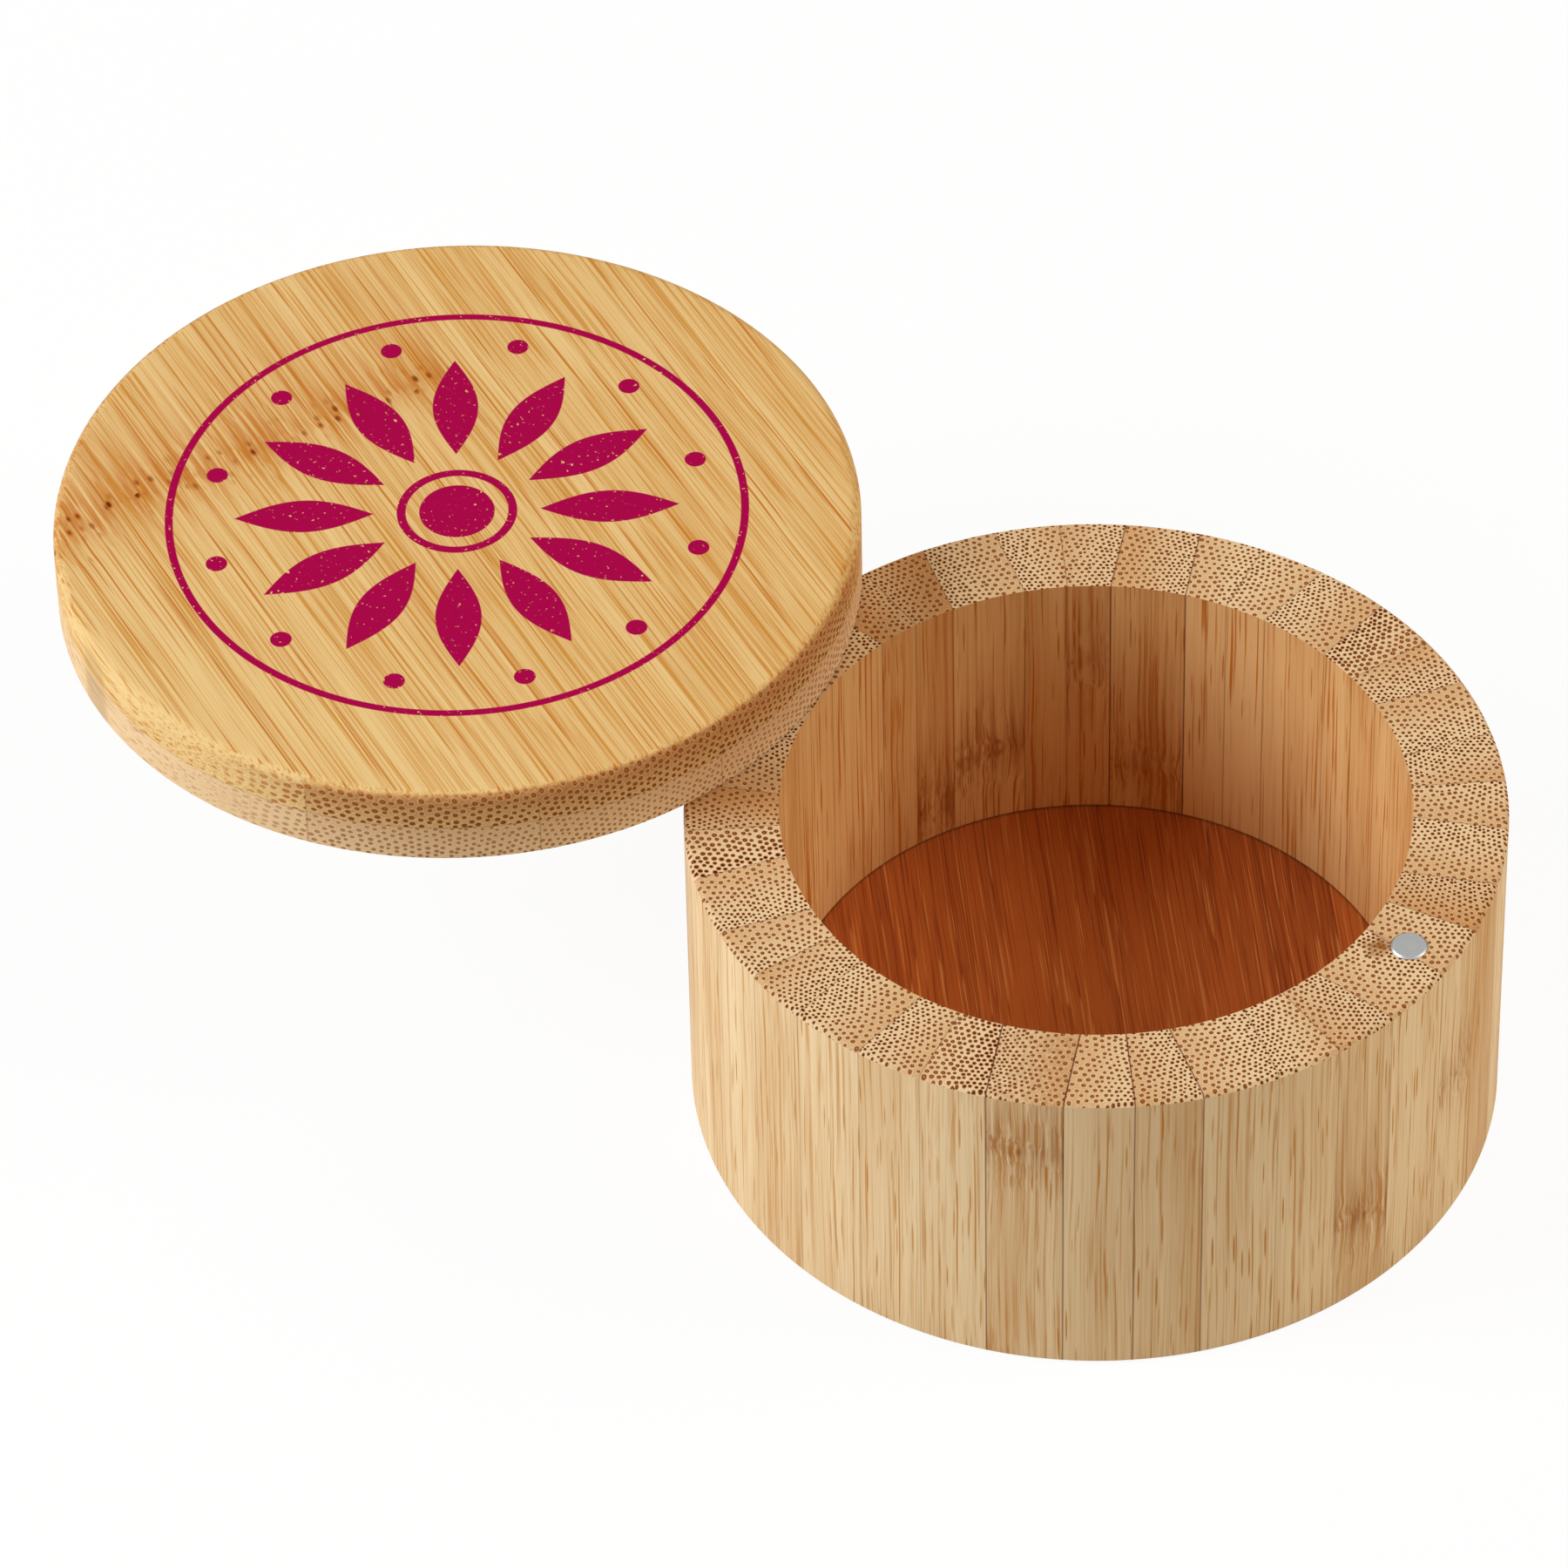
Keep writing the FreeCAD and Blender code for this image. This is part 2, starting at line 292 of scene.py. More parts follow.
def layBundles(tree, strip):
    # bundles shrink and crowd towards the dense side, alike both ways, in staggered rows
    growth = calc(tree, "LOGARITHM", strip.given["Crowding"], math.e)
    rate = calc(tree, "DIVIDE", growth, strip.given["Thickness"])
    reach = calc(tree, "EXPONENT", times(tree, rate, strip.depth))
    reach = calc(tree, "DIVIDE", reach, times(tree, rate, strip.given["Spacing"]))
    swing = times(tree, rate, strip.side)
    rowX, rowY = [scaled(tree, reach, calc(tree, wave, swing), strip.seed) for wave in ("COSINE", "SINE")]
    spot = point(tree, scaled(tree, rowY, bamboo["rowSkew"], rowX), times(tree, rowY, bamboo["rowStretch"]))
    found = cells(tree, spot, "2D", bamboo["scatter"])
    strip.chance = parts(tree, found["Color"])
    skewX, skewY, _ = parts(tree, vectorNode(tree, "SUBTRACT", spot, found["Position"]).outputs["Vector"])
    strip.offX = scaled(tree, skewY, bamboo["rowShift"], skewX)
    strip.offY = times(tree, skewY, bamboo["rowPitch"])


def shapeBundles(tree, strip):
    # one bundle at a cut end: dark caps round a pale heart, solid on the dense side
    size = times(tree, strip.given["Bundle Size"], sloped(tree, "sizeByChance", strip.chance[0]),
                 sloped(tree, "sizeByCrowd", strip.crowd))
    strip.away = calc(tree, "DIVIDE", length(tree, strip.offX, strip.offY), size)
    heart = times(tree, stepped(tree, "heart", strip.away), sloped(tree, "heartByCrowd", strip.crowd))
    turn = calc(tree, "ARCTAN2", strip.offY, strip.offX)
    phase = times(tree, strip.chance[1], bamboo["lobeTurn"])
    lobes = calc(tree, "COSINE", scaled(tree, turn, bamboo["lobes"], phase))
    strip.caps = times(tree, stepped(tree, "bundle", strip.away), sloped(tree, "lobes", lobes),
                       minus(tree, 1.0, heart), strip.given["Darkness"], strip.end)


def markFace(tree, strip):
    # the same bundles cut lengthwise: long broken streaks
    share = times(tree, strip.given["Streak Share"], sloped(tree, "shareByCrowd", strip.crowd))
    picked = stepped(tree, "picked", minus(tree, strip.chance[2], minus(tree, 1.0, share)))
    streaks = times(tree, stepped(tree, "streak", strip.away),
                    stepped(tree, "breaks", grain(tree, strip, "breaks")), picked, strip.given["Streaks"])
    # short dashes where a fibre only grazes the face
    flakes = cells(tree, point(tree, scaled(tree, strip.along, strip.given["Dash Rate"], strip.seed),
                               times(tree, strip.side, bamboo["flakeRate"]),
                               times(tree, strip.depth, bamboo["flakeRate"])))
    dashes = times(tree, stepped(tree, "flake", flakes["Distance"]),
                   sloped(tree, "flakeByChance", parts(tree, flakes["Color"])[0]), strip.given["Dashes"])
    # crisp lines where a fibre lies in the face
    strip.lines = grain(tree, strip, "lines", bent=True)
    crisp = times(tree, stepped(tree, "crisp", strip.lines),
                  stepped(tree, "crispBreaks", grain(tree, strip, "crispBreaks")),
                  strip.given["Crisp"], sloped(tree, "crispByInside", strip.given["Inside"]))
    strip.dash = largest(tree, streaks, dashes, crisp)


def shadeFace(tree, strip):
    # slow tone and fine lines, with pale lines painted as highlights on the grain's ridges
    hairs = stepped(tree, "hairs", grain(tree, strip, "hairs", bent=True))
    fine = scaled(tree, hairs, bamboo["hairs"], stepped(tree, "lines", strip.lines))
    fine = times(tree, fine, scaled(tree, strip.swirl, bamboo["swirlLines"], strip.given["Lines"]))
    # painted highlight: pale lines where the grain's ridges would catch the light
    ridgeHighlight = times(tree, stepped(tree, "ridgeHighlight", strip.lines),
                  scaled(tree, strip.given["Crisp"], bamboo["ridgeHighlightByCrisp"], strip.swirl))
    fine = scaled(tree, ridgeHighlight, bamboo["ridgeHighlight"], fine)
    tone = calc(tree, "ADD", grain(tree, strip, "slow"), calc(tree, "ADD", fine, bamboo["faceShade"]))
    return scaled(tree, strip.crowd, bamboo["faceByCrowd"], tone)


def shadeEnd(tree, strip):
    # fine grit, paler round each bundle and towards the dense side
    grit = noise(tree, stretched(tree, strip.given["Place"], bamboo["gritRate"]), bamboo["gritDetail"])
    tone = scaled(tree, grit, bamboo["grit"], minus(tree, bamboo["endShade"], strip.given["End Tone"]))
    tone = scaled(tree, strip.crowd, bamboo["endByCrowd"], tone)
    return scaled(tree, stepped(tree, "halo", strip.away), bamboo["endByHalo"], tone)


def paint(tree, strip, mask, tint):
    strip.shown = mixed(tree, mask, strip.shown, tint)


def paintGround(tree, strip):
    given = strip.given
    faceShade, endShade = shadeFace(tree, strip), shadeEnd(tree, strip)
    shade = scaled(tree, strip.end, minus(tree, endShade, faceShade), faceShade)
    warm = mixed(tree, strip.end, given["Warm"], given["End Warm"])
    strip.shown = mixed(tree, minus(tree, shade, given["Tone"]), given["Pale"], warm)
    paint(tree, strip, times(tree, strip.dash, strip.face), given["Streak"])


def paintBundles(tree, strip):
    # a rusty skirt round each bundle, then its dark caps
    strip.rust = mixed(tree, bamboo["rustShare"], strip.given["Streak"], bamboo["rust"])
    skirt = times(tree, stepped(tree, "skirt", strip.away), strip.end, strip.given["Darkness"],
                  bamboo["skirt"])
    paint(tree, strip, skirt, strip.rust)
    capDepth = times(tree, sloped(tree, "capByCrowd", strip.crowd), strip.end, strip.end)
    paint(tree, strip, strip.caps, mixed(tree, capDepth, strip.rust, strip.given["Fibre"]))


def paintJoint(tree, strip):
    # stain that fades away along the grain, sooner below the joint than above it
    above = times(tree, largest(tree, strip.offNode, 0.0), bamboo["stainUp"])
    fall = scaled(tree, smallest(tree, strip.offNode, 0.0), bamboo["stainDown"], above)
    patches = largest(tree, sloped(tree, "patches", grain(tree, strip, "patches")), 0.0)
    stain = times(tree, calc(tree, "EXPONENT", fall), strip.given["Node Amount"], patches)
    paint(tree, strip, smallest(tree, stain, bamboo["stainMost"]), strip.given["Stain"])
    # dark flecks with a rusty skirt
    flecks = cells(tree, point(tree, times(tree, strip.along, bamboo["fleckAlong"]),
                               scaled(tree, strip.across, bamboo["fleckAcross"], strip.seed),
                               times(tree, strip.through, bamboo["fleckAcross"])))
    fleck = times(tree, stepped(tree, "fleckPick", parts(tree, flecks["Color"])[0]), strip.near,
                  strip.given["Flecks"], strip.face)
    for name, tint in (("fleckSkirt", strip.rust), ("fleckCore", strip.given["Fibre"])):
        paint(tree, strip, times(tree, stepped(tree, name, flecks["Distance"]), fleck), tint)


def paintWellShade(tree, strip):
    # painted shade: the well's face is tinted warmer for the shade and bounce light inside the well, with a
    # dark painted shadow line in the corner above the base
    inside = strip.given["Inside"]
    strip.shown = mixed(tree, inside, strip.shown, bamboo["wellShadeTint"], "MULTIPLY")
    # painted shadow in the corner where the wall meets the base
    corner = times(tree, stepped(tree, "corner", strip.along), inside, bamboo["corner"])
    paint(tree, strip, corner, strip.given["Fibre"])


def paintSeams(tree, strip):
    # glue lines at the strip's sides, and at the bevelled cheek where it has one
    given = strip.given
    cheekGap = scaled(tree, strip.across, given["Cheek Across"],
                      scaled(tree, strip.through, given["Cheek Through"], given["Cheek Shift"]))
    gap = smallest(tree, minus(tree, given["Seam Side"], calc(tree, "ABSOLUTE", strip.across)), cheekGap,
                   minus(tree, given["Seam High"], strip.through),
                   calc(tree, "ADD", strip.through, given["Seam Low"]))
    show = scaled(tree, strip.end, bamboo["seamByEnd"], sloped(tree, "seamByInside", given["Inside"]))
    core = fade(tree, gap, sloped(tree, "seamWidth", given["Glue"]), bamboo["seamCore"])
    strip.seam = times(tree, core, given["Glue"], show)
    paint(tree, strip, strip.seam, given["Fibre"])


def setSurface(tree, strip, result):
    tree.links.new(strip.shown, result["Colour"])
    satin = sloped(tree, "satin", strip.lines)
    tree.links.new(scaled(tree, strip.end, bamboo["roughByEnd"], satin), result["Roughness"])
    height = times(tree, strip.caps, bamboo["pits"])
    for layer, name in ((strip.dash, "dashHeight"), (strip.lines, "lineHeight"), (strip.seam, "seamHeight")):
        height = scaled(tree, layer, bamboo[name], height)
    tree.links.new(height, result["Height"])


def makeBambooGroup():
    inputs = {"Place": "vector"}
    inputs.update({label: "value" for label in bambooNumbers})
    inputs.update({label: "colour" for label in bambooColours})
    outputs = {"Colour": "colour", "Roughness": "value", "Height": "value"}
    tree, given, result = newGroup("bambooStrip", inputs, outputs)
    along, across, through = parts(tree, given["Place"])
    strip = SimpleNamespace(given=given, along=along, across=across, through=through, end=given["End"],
                            face=minus(tree, 1.0, given["End"]),
                            seed=times(tree, given["Seed"], bamboo["seedStep"]))
    for step in (placeJoint, bendFibres, layBundles, shapeBundles, markFace, paintGround, paintBundles,
                 paintJoint, paintWellShade, paintSeams):
        step(tree, strip)
    setSurface(tree, strip, result)
    return tree


bambooGroup = makeBambooGroup()
print("bamboo group ready")

# what a strip has unless its piece says otherwise
plainStrip = {
    "Node At": 0.0, "Node Amount": 0.0, "Node Swirl": 1.0, "Flecks": 0.4, "Tone": 0.0, "End Tone": 0.0,
    "Seam Side": far, "Cheek Shift": far, "Cheek Across": 0.0, "Cheek Through": 0.0,
}


def bambooMaterial(name, axes, centre, values, gloss, outwards=None):
    # axes: directions along the grain, across the strip and towards its dense side
    material, tree, shader = newMaterial(name)
    strip = tree.nodes.new("ShaderNodeGroup")
    strip.node_tree = bambooGroup
    tree.links.new(placeInMm(tree, centre, Matrix(axes)), strip.inputs["Place"])
    for label, value in values.items():
        strip.inputs[label].default_value = value

    def facing(direction):
        return vectorNode(tree, "DOT_PRODUCT", source(tree, "Normal"), direction).outputs["Value"]

    tree.links.new(stepped(tree, "end", calc(tree, "ABSOLUTE", facing(axes[0]))), strip.inputs["End"])
    if outwards is not None:
        tree.links.new(stepped(tree, "inside", facing(-outwards)), strip.inputs["Inside"])
    tree.links.new(strip.outputs["Colour"], shader["Base Color"])
    tree.links.new(strip.outputs["Roughness"], shader["Roughness"])
    bump = tree.nodes.new("ShaderNodeBump")
    bump.inputs["Strength"].default_value = bamboo["bumpStrength"]
    bump.inputs["Distance"].default_value = bamboo["bumpDepth"] * mm
    tree.links.new(strip.outputs["Height"], bump.inputs["Height"])
    tree.links.new(bump.outputs[0], shader["Normal"])
    shader["Specular IOR Level"].default_value = gloss
    return material


def level(degrees):
    # the level directions at an angle and a quarter turn on from it
    angle = math.radians(degrees)
    return (Vector((math.cos(angle), math.sin(angle), 0)), Vector((-math.sin(angle), math.cos(angle), 0)))


# Wall

wall = {
    "staves": 12,
    "firstSeam": 2.2,         # degrees
    "coreWidth": 8.5,         # mm
    "middle": 39.8,           # mm, radius at the middle of the wall
    "gloss": 0.03, "firstSeed": 1.0,
    "sides": {"right": -1, "core": 0, "left": 1},
    "values": {
        "Spacing": 1.0, "Crowding": 1.75, "Thickness": 8.5, "Bundle Size": 0.26, "Darkness": 1.0,
        "Streaks": 0.9, "Streak Share": 0.6, "Dashes": 1.0, "Dash Rate": 0.08, "Lines": 0.42, "Wander": 0.9,
        "Glue": 0.38, "Crisp": 0.45, "Seam High": 4.25, "Seam Low": 4.25,
        "Pale": colour(238, 210, 164), "Warm": colour(203, 152, 93), "End Warm": colour(203, 148, 90),
        "Streak": colour(195, 131, 54), "Fibre": colour(84, 20, 1), "Stain": colour(160, 98, 46),
    },
    # for each stave, right to left: the side its dense face is on, and its tone
    "strips": [
        [(1, -0.42), (1, 0.02), (1, 0.05)],
        [(1, -0.10), (-1, 0.02), (-1, -0.16)],
        [(1, 0.08), (1, -0.02), (1, 0.18)],
        [(-1, 0.14), (-1, 0.02), (-1, -0.04)],
        [(1, -0.06), (1, 0.12), (1, -0.34)],
        [(-1, -0.28), (-1, -0.02), (1, 0.04)],
        [(1, 0.02), (-1, -0.10), (1, -0.36)],
        [(1, 0.12), (1, 0.04), (1, 0.08)],
        [(1, -0.12), (-1, 0.02), (-1, -0.04)],
        [(1, 0.16), (-1, -0.06), (1, 0.02)],
        [(1, -0.12), (1, 0.10), (-1, 0.06)],
        [(1, -0.16), (1, 0.08), (1, 0.10)],
    ],
    # strips that differ from the rest
    "special": {
        "stave_10_core": {"Node At": 33.0, "Node Amount": 0.7, "Glue": 1.0},
        "stave_11_right": {"Glue": 0.9},
        "stave_12_right": {"Node At": 12.0, "Node Amount": 0.75},
        "stave_12_left": {"Node At": 22.5, "Node Amount": 0.45},
        "stave_05_left": {"Node At": 10.5, "Node Amount": 1.0},
        "stave_05_core": {"Node At": 16.5, "Node Amount": 0.8},
        "stave_04_left": {"Node At": 29.0, "Node Amount": 0.4},
        "stave_04_core": {"Node At": 12.5, "Node Amount": 0.5, "Glue": 0.8, "Tone": -0.14},
        "stave_08_right": {"Bundle Size": 0.30, "Crowding": 1.25, "Spacing": 0.95},
        "stave_10_right": {"Bundle Size": 0.31, "Crowding": 1.4, "Spacing": 0.90},
        "stave_03_right": {"Bundle Size": 0.31, "Crowding": 1.5, "Spacing": 0.95},
    },
}


def dressWall():
    half = math.pi / wall["staves"]
    cheekShift = wall["middle"] * math.sin(half) - wall["coreWidth"] * math.cos(half)
    for stave, looks in enumerate(wall["strips"]):
        outwards, tangent = level(wall["firstSeam"] + (stave + 0.5) * 360 / wall["staves"])
        for (sideName, side), (dense, tone) in zip(wall["sides"].items(), looks):
            name = f"stave_{stave + 1:02d}_{sideName}"
            values = {**plainStrip, **wall["values"], "Tone": tone}
            values["Seed"] = wall["firstSeed"] + stave * len(wall["sides"]) + side
            if side:
                # the bevelled cheek where two staves meet
                values["Cheek Shift"] = cheekShift
                values["Cheek Across"] = dense * math.sin(half)
                values["Cheek Through"] = -side * dense * math.cos(half)
            values.update(wall["special"].get(name, {}))
            centre = outwards * wall["middle"] + tangent * side * wall["coreWidth"]
            axes = (up, outwards * dense, tangent * dense)
            dress(name, bambooMaterial(f"{name}_bamboo", axes, centre, values, wall["gloss"], outwards))


# An old glue mark beside the magnet

smear = {
    "centre": (36.8, -5.2, 40.7), "radius": 2.3,      # mm
    "cloudRate": 0.9, "cloudDetail": 3.0, "ragged": 3.2, "shrink": 1.6,
    "strength": 0.9, "tint": colour(146, 84, 22),
    "strips": ["stave_12_core", "stave_12_left"],
}


def addSmear():
    for name in smear["strips"]:
        tree = nodes[name].data.materials[0].node_tree
        place = placeInMm(tree, smear["centre"])
        distance = vectorNode(tree, "LENGTH", place).outputs["Value"]
        cloud = noise(tree, stretched(tree, place, smear["cloudRate"]), smear["cloudDetail"])
        edge = scaled(tree, cloud, smear["ragged"], minus(tree, distance, smear["shrink"]))
        mask = times(tree, fade(tree, edge, smear["radius"], 0.0), smear["strength"])
        overpaint(tree, mask, smear["tint"])


dressWall()
addSmear()
print("wall dressed")


# Base

base = {
    "grain": 123.5,           # degrees
    "radius": 37.1,           # mm
    "well": 34.6,             # mm, radius where the wall meets it
    "middle": 3.0,            # mm, height of its middle
    # where the painted corner shadow lies on the upper face, and how dark it is
    "edgeFrom": 0.25, "edgeTo": 0.05, "edgeRise": 1.0, "edgeShadow": 0.35,   # mm, and a share
    "gloss": 0.08, "firstSeed": 50.0,
    "values": {
        "Spacing": 0.9, "Crowding": 1.8, "Thickness": 8.3, "Bundle Size": 0.24, "Darkness": 0.5,
        "Streaks": 0.7, "Streak Share": 0.45, "Dashes": 0.5, "Dash Rate": 0.04, "Lines": 0.7, "Wander": 0.7,
        "Glue": 0.15, "Crisp": 0.75, "Seam High": 4.12, "Seam Low": 4.12,
        "Pale": colour(197, 108, 50), "Warm": colour(135, 59, 26), "End Warm": colour(135, 59, 26),
        "Streak": colour(232, 156, 85), "Fibre": colour(64, 24, 8), "Stain": colour(84, 34, 12),
    },
    # one for each strip
    "tones": [0.0, -0.12, 0.04, 0.13, 0.22, 0.16, 0.05, -0.10, 0.0],
}


def paintCornerShadow(tree):
    # painted shadow: a dark line on the upper face, in the corner where the wall stands on it
    x, y, z = parts(tree, placeInMm(tree))
    rim = fade(tree, length(tree, x, y), base["well"] - base["edgeFrom"], base["well"] - base["edgeTo"])
    upper = fade(tree, z, base["middle"], base["middle"] + base["edgeRise"])
    overpaint(tree, times(tree, rim, upper, base["edgeShadow"]), base["values"]["Fibre"])


def dressBase():
    along, across = level(base["grain"])
    width = 2 * base["radius"] / len(base["tones"])
    for number, tone in enumerate(base["tones"]):
        name = f"base_strip_{number + 1}"
        centre = across * ((number + 0.5) * width - base["radius"]) + up * base["middle"]
        values = {**plainStrip, **base["values"], "Seed": base["firstSeed"] + number, "Tone": tone}
        flip = 1 if number % 2 else -1
        axes = (along, up * -flip, across * flip)
        material = bambooMaterial(f"{name}_bamboo", axes, centre, values, base["gloss"])
        paintCornerShadow(material.node_tree)
        dress(name, material)


dressBase()
print("base dressed")


# Lid

lid = {
    "centre": (-79.6, 0.0),    # mm
    "bottom": 41.1,            # mm
    "grain": 146.4,            # degrees
    "radius": 44.9,            # mm
    "gloss": 0.03,
    "seamShares": [-1.0, -0.70, -0.22, 0.27, 0.75, 1.0],
    "plies": {
        # height of the middle in mm, dense side up or down, and values that differ
        "top": {
            "middle": 7.0, "dense": -1, "firstSeed": 100.0,
            "values": {
                "Thickness": 8.0, "Spacing": 1.05, "Crowding": 1.25, "Bundle Size": 0.28, "Darkness": 0.85,
                "Streaks": 0.95, "Streak Share": 1.35, "Dashes": 0.9, "Dash Rate": 0.03, "Lines": 0.85,
                "Wander": 0.45, "Node Swirl": 0.35, "Flecks": 1.0, "End Tone": -0.44, "Crisp": 0.0,
                "Glue": 0.25, "Seam High": 2.4, "Seam Low": far,
                "Pale": colour(238, 204, 140), "Warm": colour(210, 149, 68), "End Warm": colour(181, 121, 71),
                "Streak": colour(200, 122, 42), "Fibre": colour(94, 34, 6), "Stain": colour(198, 118, 42),
            },
            # where the cane's joint crosses a strip, in mm along the grain from the lid's middle
            "joints": {3: (21.0, 0.8), 4: (20.0, 1.0), 5: (18.5, 1.0)},
        },
        "under": {
            "middle": 2.3, "dense": -1, "firstSeed": 80.0,
            "values": {
                "Thickness": 8.0, "Spacing": 0.95, "Crowding": 1.3, "Bundle Size": 0.25, "Darkness": 0.6,
                "Streaks": 0.6, "Streak Share": 0.6, "Dashes": 0.7, "Dash Rate": 0.06, "Lines": 0.5,
                "Wander": 0.5, "End Tone": -0.02, "Crisp": 0.4,
                "Glue": 0.35, "Seam High": far, "Seam Low": 2.3,
                "Pale": colour(236, 202, 154), "Warm": colour(212, 163, 110),
                "End Warm": colour(206, 156, 106), "Streak": colour(172, 112, 58),
                "Fibre": colour(110, 52, 18), "Stain": colour(150, 92, 44),
            },
            "joints": {},
        },
    },
    "tones": [-0.06, -0.02, 0.0, 0.06, 0.30],
}


def dressLid():
    along, across = level(lid["grain"])
    seams = [share * lid["radius"] for share in lid["seamShares"]]
    for plyName, ply in lid["plies"].items():
        middle = Vector((*lid["centre"], lid["bottom"] + ply["middle"]))
        axes = (along, across * ply["dense"], up * ply["dense"])
        for number, (low, high, tone) in enumerate(zip(seams, seams[1:], lid["tones"]), 1):
            name = f"lid_{plyName}_strip_{number}"
            values = {**plainStrip, **ply["values"], "Seed": ply["firstSeed"] + number, "Tone": tone}
            values["Seam Side"] = (high - low) / 2
            if number in ply["joints"]:
                values["Node At"], values["Node Amount"] = ply["joints"][number]
            centre = middle + across * (low + high) / 2
            dress(name, bambooMaterial(f"{name}_bamboo", axes, centre, values, lid["gloss"]))


# A plain printed flower on the lid

flower = {
    "centre": (-79.6, 0.0, 50.5),     # mm, in the middle of the lid's top
    "petals": 12, "petalStart": 9.0, "petalLength": 16.0, "petalWidth": 2.7,   # mm
    "petalSoft": (-0.08, -0.20), "soft": 0.05,                                 # mm
    "heart": 4.2, "heartRing": 6.2, "heartLine": 0.5,
    "dotsAt": 27.6, "dotSize": 1.2,
    "ring": 32.0, "ringLine": 0.45,
    "ink": colour(171, 5, 74),
    "wear": 0.35, "wearSoft": 0.04, "wearRate": 1.9, "wearDetail": 3.0,
    "topFace": (-0.08, -0.02),        # mm down from the top, where the ink ends
}


def makePrintGroup():
    tree, given, result = newGroup("lidPrint", {"Place": "vector", "Colour": "colour"}, {"Colour": "colour"})
    x, y, z = parts(tree, given["Place"])
    radius = length(tree, x, y)
    angle = calc(tree, "ARCTAN2", y, x)
    half = math.pi / flower["petals"]

    def sector(shift):
        # along and across the nearest of the even spokes
        turn = calc(tree, "WRAP", calc(tree, "ADD", angle, shift), half, -half)
        across = times(tree, radius, calc(tree, "SINE", turn))
        return times(tree, radius, calc(tree, "COSINE", turn)), calc(tree, "ABSOLUTE", across)

    def within(distance, size):
        return fade(tree, distance, size + flower["soft"], size - flower["soft"])

    def line(middle, width):
        return within(calc(tree, "ABSOLUTE", minus(tree, radius, middle)), width)

    out, aside = sector(0.0)
    share = calc(tree, "DIVIDE", minus(tree, out, flower["petalStart"]), flower["petalLength"])
    share = smallest(tree, largest(tree, share, 0.0), 1.0)
    width = times(tree, calc(tree, "SINE", times(tree, share, math.pi)), flower["petalWidth"])
    petals = fade(tree, minus(tree, aside, width), *flower["petalSoft"])
    out, aside = sector(half)
    dots = within(length(tree, minus(tree, out, flower["dotsAt"]), aside), flower["dotSize"])
    drawn = largest(tree, petals, dots, within(radius, flower["heart"]),
                    line(flower["heartRing"], flower["heartLine"]), line(flower["ring"], flower["ringLine"]))
    cloud = noise(tree, stretched(tree, given["Place"], flower["wearRate"]), flower["wearDetail"])
    worn = fade(tree, cloud, flower["wear"] - flower["wearSoft"], flower["wear"])
    ink = times(tree, drawn, worn, fade(tree, z, *flower["topFace"]))
    tree.links.new(mixed(tree, ink, given["Colour"], flower["ink"]), result["Colour"])
    return tree


def printLid():
    group = makePrintGroup()
    for number in range(1, len(lid["seamShares"])):
        tree = nodes[f"lid_top_strip_{number}"].data.materials[0].node_tree
        stamp = tree.nodes.new("ShaderNodeGroup")
        stamp.node_tree = group
        tree.links.new(placeInMm(tree, flower["centre"]), stamp.inputs["Place"])
        socket = tree.nodes["Principled BSDF"].inputs["Base Color"]
        tree.links.new(socket.links[0].from_socket, stamp.inputs["Colour"])
        tree.links.new(stamp.outputs["Colour"], socket)


dressLid()
printLid()
print("lid dressed")


# Magnets and pin

metal = {
    "cloudRate": 900.0, "cloudDetail": 3.0,     # per metre
    "cloudShade": 0.8, "roughSpread": 0.2,
    "kinds": {
        "nickelPlate": {"tint": colour(174, 174, 172), "roughness": 0.36,
                        "pieces": ["rim_magnet", "lid_magnet"]},
        "groundSteel": {"tint": colour(190, 190, 192), "roughness": 0.22, "pieces": ["pivot_pin"]},
    },
}


def dressMetal():
    for name, kind in metal["kinds"].items():
        material, tree, shader = newMaterial(name)
        shader["Metallic"].default_value = 1.0
        place = stretched(tree, source(tree, "Object"), metal["cloudRate"])
        cloud = noise(tree, place, metal["cloudDetail"])
        shade = [metal["cloudShade"] * part for part in kind["tint"][:3]] + [1.0]
        tree.links.new(mixed(tree, cloud, kind["tint"], shade), shader["Base Color"])
        tree.links.new(scaled(tree, cloud, metal["roughSpread"], kind["roughness"]), shader["Roughness"])
        for piece in kind["pieces"]:
            dress(piece, material)


dressMetal()
print("metal dressed")


# Stage

stage = {
    "floorSize": 6.0, "floorDrop": 0.00005,   # metres, just clear of the underside
    "floorGrey": 0.74, "floorRoughness": 0.9,
    "floorGlow": 0.90,        # share of plain white, the rest takes the shadow
    "floorWhite": 1.03,
    "cameraTarget": (-0.0393, 0.0008, 0.0254),
    "azimuth": 29.08, "elevation": 44.87, "distance": 1.1616, "roll": 1.31,   # degrees, metres
    "lens": 239.3, "sensor": 36.0, "clipStart": 0.05,                         # mm, mm, metres
    "ambient": 0.25, "ambientTint": (1.0, 0.82, 0.64),
    "lampDistance": 1.6, "lampSize": 0.9,                                     # metres
    "lamps": {
        # azimuth from the camera's and elevation in degrees, watts, tint
        "key": (-80.0, 33.0, 21.0, (0.95, 1.01, 1.10)),
        "fill": (86.0, 38.0, 13.0, (1.0, 0.95, 0.88)),
    },
}


def towards(azimuth, elevation):
    # direction from the middle to a viewer; azimuth 0 looks along +Y
    a, e = math.radians(azimuth), math.radians(elevation)
    return Vector((math.sin(a) * math.cos(e), -math.cos(a) * math.cos(e), math.sin(e)))


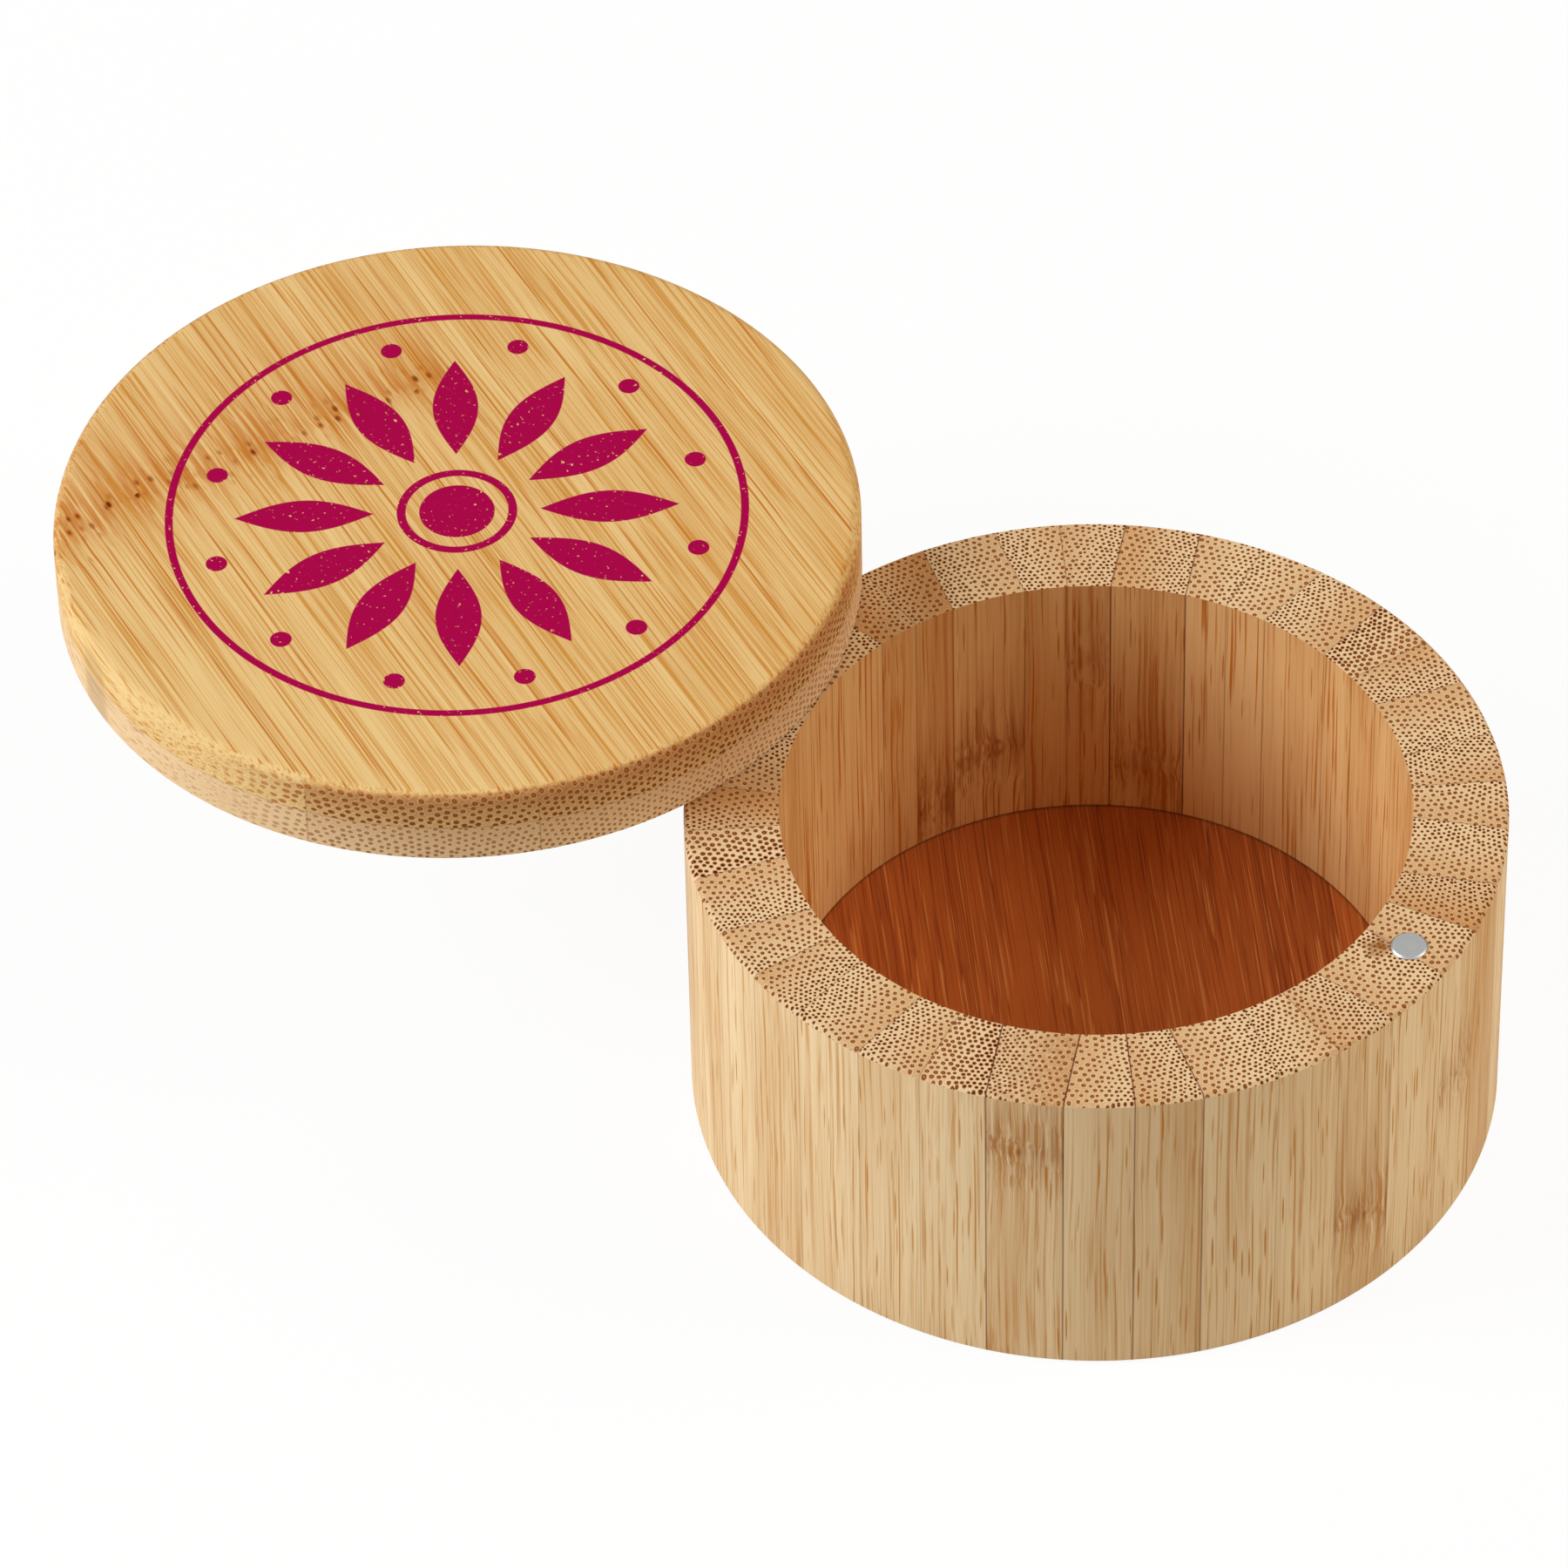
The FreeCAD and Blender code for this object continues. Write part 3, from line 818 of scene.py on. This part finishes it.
def blendShaders(tree, factor, first, second, output):
    blend = tree.nodes.new("ShaderNodeMixShader")
    for socket, value in zip(blend.inputs, (factor, first.outputs[0], second.outputs[0])):
        tree.links.new(value, socket)
    tree.links.new(blend.outputs[0], tree.nodes[output].inputs["Surface"])


def seenDirectly(tree):
    # 1 for rays that show the background: straight from the camera, mirrored or through glass
    rays = tree.nodes.new("ShaderNodeLightPath").outputs
    return largest(tree, rays["Is Camera Ray"], rays["Is Glossy Ray"], rays["Is Transmission Ray"])


def makeFloor():
    plane = bmesh.new()
    bmesh.ops.create_grid(plane, x_segments=1, y_segments=1, size=stage["floorSize"] / 2)
    mesh = bpy.data.meshes.new("floor")
    plane.to_mesh(mesh)
    plane.free()
    floor = bpy.data.objects.new("floor", mesh)
    floor.location.z = -stage["floorDrop"]
    bpy.context.scene.collection.objects.link(floor)
    material, tree, shader = newMaterial("paleFloor")
    shader["Base Color"].default_value = (*[stage["floorGrey"]] * 3, 1)
    shader["Roughness"].default_value = stage["floorRoughness"]
    white = tree.nodes.new("ShaderNodeEmission")
    white.inputs["Strength"].default_value = stage["floorWhite"]
    glow = times(tree, seenDirectly(tree), stage["floorGlow"])
    blendShaders(tree, glow, tree.nodes["Principled BSDF"], white, "Material Output")
    mesh.materials.append(material)


def makeLight():
    for name, (azimuth, elevation, watts, tint) in stage["lamps"].items():
        lamp = bpy.data.lights.new(name, "AREA")
        lamp.shape = "DISK"
        lamp.size = stage["lampSize"]
        lamp.energy = watts
        lamp.color = tint
        holder = bpy.data.objects.new(name, lamp)
        bpy.context.scene.collection.objects.link(holder)
        spot = towards(stage["azimuth"] + azimuth, elevation) * stage["lampDistance"]
        holder.location = spot + Vector(stage["cameraTarget"])
        holder.rotation_euler = spot.to_track_quat("Z", "Y").to_euler()
    world = bpy.data.worlds.new("studio")
    bpy.context.scene.world = world
    world.use_nodes = True
    tree = world.node_tree
    dim = tree.nodes["Background"]
    dim.inputs["Color"].default_value = (*stage["ambientTint"], 1)
    dim.inputs["Strength"].default_value = stage["ambient"]
    white = tree.nodes.new("ShaderNodeBackground")
    white.inputs["Color"].default_value = (1, 1, 1, 1)
    blendShaders(tree, seenDirectly(tree), dim, white, "World Output")


def makeCamera():
    camera = bpy.data.objects.new("camera", bpy.data.cameras.new("camera"))
    bpy.context.scene.collection.objects.link(camera)
    back = towards(stage["azimuth"], stage["elevation"])
    camera.location = Vector(stage["cameraTarget"]) + back * stage["distance"]
    unrolled = back.to_track_quat("Z", "Y").to_matrix()
    rolled = unrolled @ Matrix.Rotation(math.radians(-stage["roll"]), 3, "Z")
    camera.rotation_euler = rolled.to_euler()
    camera.data.lens = stage["lens"]
    camera.data.sensor_width = stage["sensor"]
    camera.data.clip_start = stage["clipStart"]
    bpy.context.scene.camera = camera


makeFloor()
makeLight()
makeCamera()
bpy.context.scene.view_settings.view_transform = "Standard"
print("stage ready")
